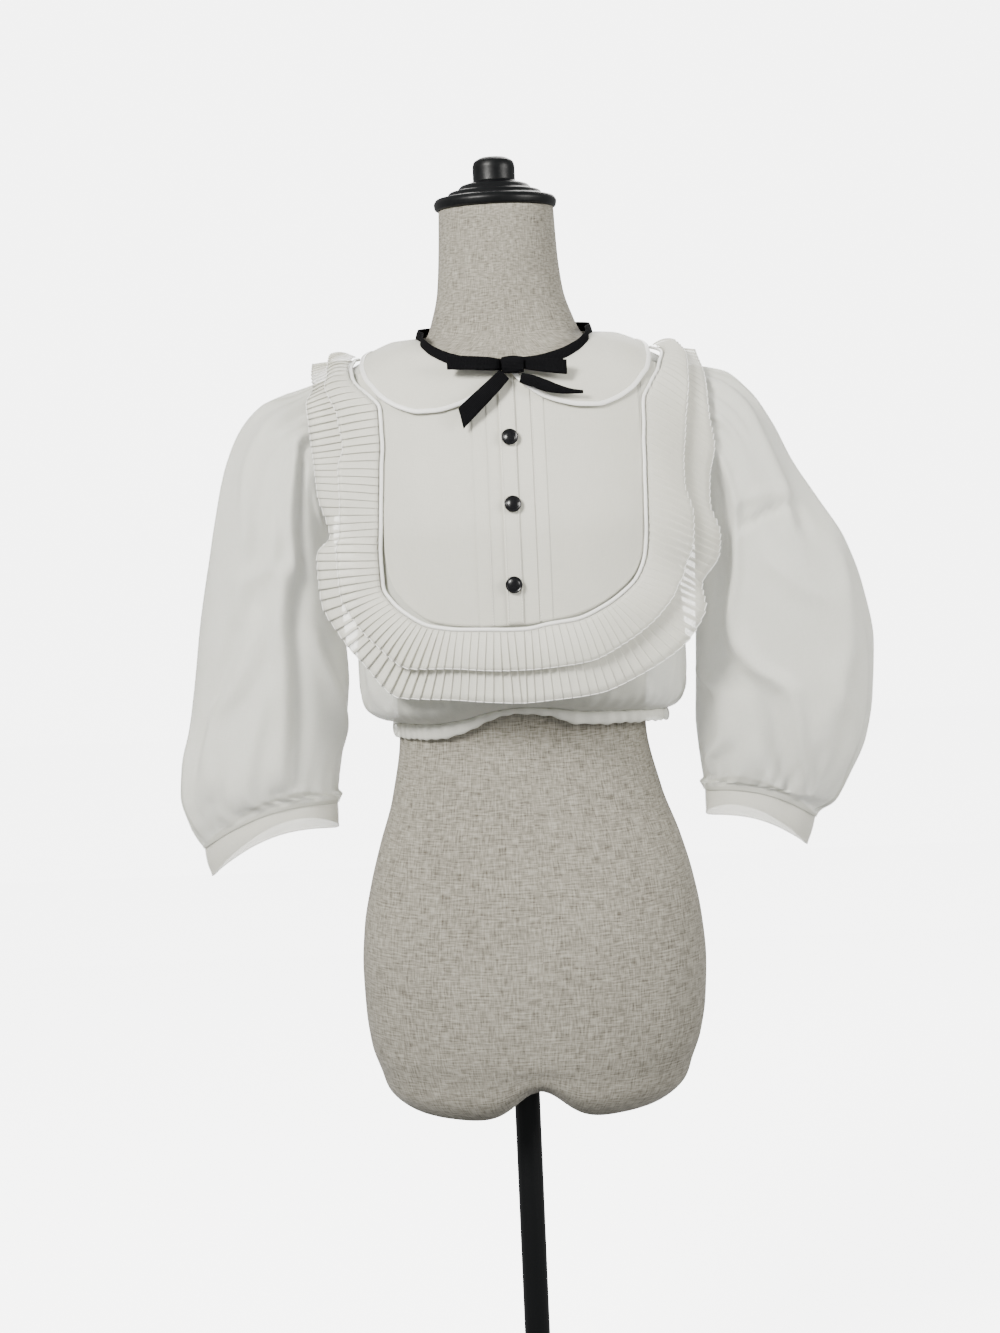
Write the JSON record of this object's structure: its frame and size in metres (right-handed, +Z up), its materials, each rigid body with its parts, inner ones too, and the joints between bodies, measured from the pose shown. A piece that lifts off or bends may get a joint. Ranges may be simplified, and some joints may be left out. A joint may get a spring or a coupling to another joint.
{
  "type": "puff sleeve blouse on a limbless dress form with stand",
  "caption": "Cropped sheer blouse with puff sleeves, pleated bib ruffles, flat collar and neck bow, worn by a linen dress form on a pole and round base.",
  "frame": {"origin": "middle of the base's flat underside, on the pole's centre line, at floor level", "axes": "+Z up along the pole, -Y towards the viewer at the blouse's front, +X to the viewer's right"},
  "size_m": [0.6755, 0.33, 1.312],
  "materials": {
    "organza": "fine sheer plain weave, soft low sheen",
    "organza_bib": "fine sheer plain weave in two layers",
    "organza_collar": "fine sheer plain weave with a thick white rolled edge",
    "organza_pleated": "sheer cloth set in narrow pressed pleats with a stitched white edge",
    "piping_white": "smooth white cotton",
    "ribbon_black": "matt ribbed ribbon",
    "button_black": "polished domed plastic",
    "linen": "natural slubbed linen, tightly stretched",
    "cap_black": "turned wood in black satin paint",
    "stand_black": "black satin paint",
    "stand_iron": "black satin paint"
  },
  "bodies": {
    "root": {"bodice_front": "organza", "bodice_back": "organza", "bib": "organza_bib", "placket": "organza_bib", "collar_left": "organza_collar", "collar_right": "organza_collar", "sleeve_left": "organza", "sleeve_right": "organza", "cuff_left": "organza", "cuff_right": "organza", "ruffle_upper": "organza_pleated", "ruffle_lower": "organza_pleated", "bib_piping": "piping_white", "hem_casing": "piping_white", "neck_binding": "ribbon_black", "bow_loop_left": "ribbon_black", "bow_loop_right": "ribbon_black", "bow_tail_left": "ribbon_black", "bow_tail_right": "ribbon_black", "bow_knot": "ribbon_black", "button_1": "button_black", "button_2": "button_black", "button_3": "button_black", "form_torso": "linen", "neck_cap": "cap_black", "stand_pole": "stand_black", "stand_base": "stand_iron"}
  },
  "joints": []
}
